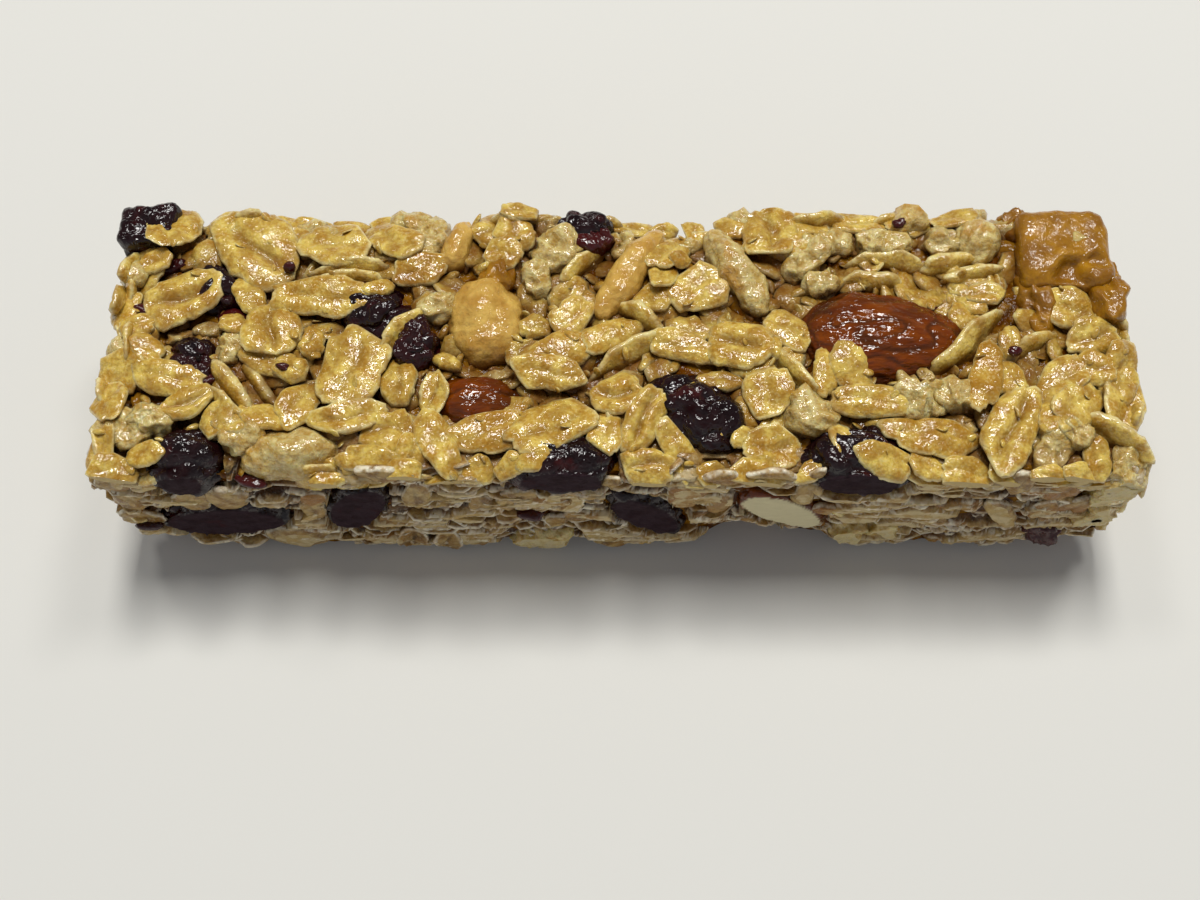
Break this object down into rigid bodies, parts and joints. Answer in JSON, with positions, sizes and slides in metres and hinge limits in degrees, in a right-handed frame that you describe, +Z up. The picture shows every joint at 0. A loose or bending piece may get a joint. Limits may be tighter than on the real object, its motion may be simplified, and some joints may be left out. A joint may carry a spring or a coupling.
{
  "type": "granola bar",
  "caption": "Chewy granola bar: a pressed slab of oat flakes and puffed rice set with almonds, nuts and dried fruit, one long side cut clean by a knife.",
  "frame": {"origin": "middle of the underside of the bar's bounding box, on the surface that it rests on", "axes": "+X along the bar's length; -Y out of the knife-cut long side; +Z up, out of the top"},
  "size_m": [0.1016, 0.0312, 0.0214],
  "materials": {
    "oats": "toasted oat flakes bound and glazed with syrup",
    "dried_fruit": "wrinkled dried fruit, wet with syrup, dull where cut",
    "almond": "grooved brown almond skin with syrup, cream where cut",
    "nut": "smooth roasted nut with syrup",
    "puffed_rice": "blistered puffed grain, slightly translucent"
  },
  "bodies": {
    "root": {"oat_slab": "oats", "fruit_corner": "dried_fruit", "fruit_under_flake": "dried_fruit", "fruit_small_left": "dried_fruit", "fruit_front_left": "dried_fruit", "fruit_middle": "dried_fruit", "fruit_beside_nut": "dried_fruit", "fruit_back": "dried_fruit", "raisin_large": "dried_fruit", "raisin_front": "dried_fruit", "fruit_cut_top": "dried_fruit", "fruit_cut_left": "dried_fruit", "fruit_cut_deep": "dried_fruit", "fruit_cut_middle": "dried_fruit", "almond_top": "almond", "almond_tucked": "almond", "almond_cut": "almond", "nut_round": "nut", "nut_long": "nut", "nut_slice": "nut", "nut_amber": "nut", "kernel_front": "puffed_rice", "crisp_long": "puffed_rice", "crisp_block": "puffed_rice"}
  },
  "joints": []
}
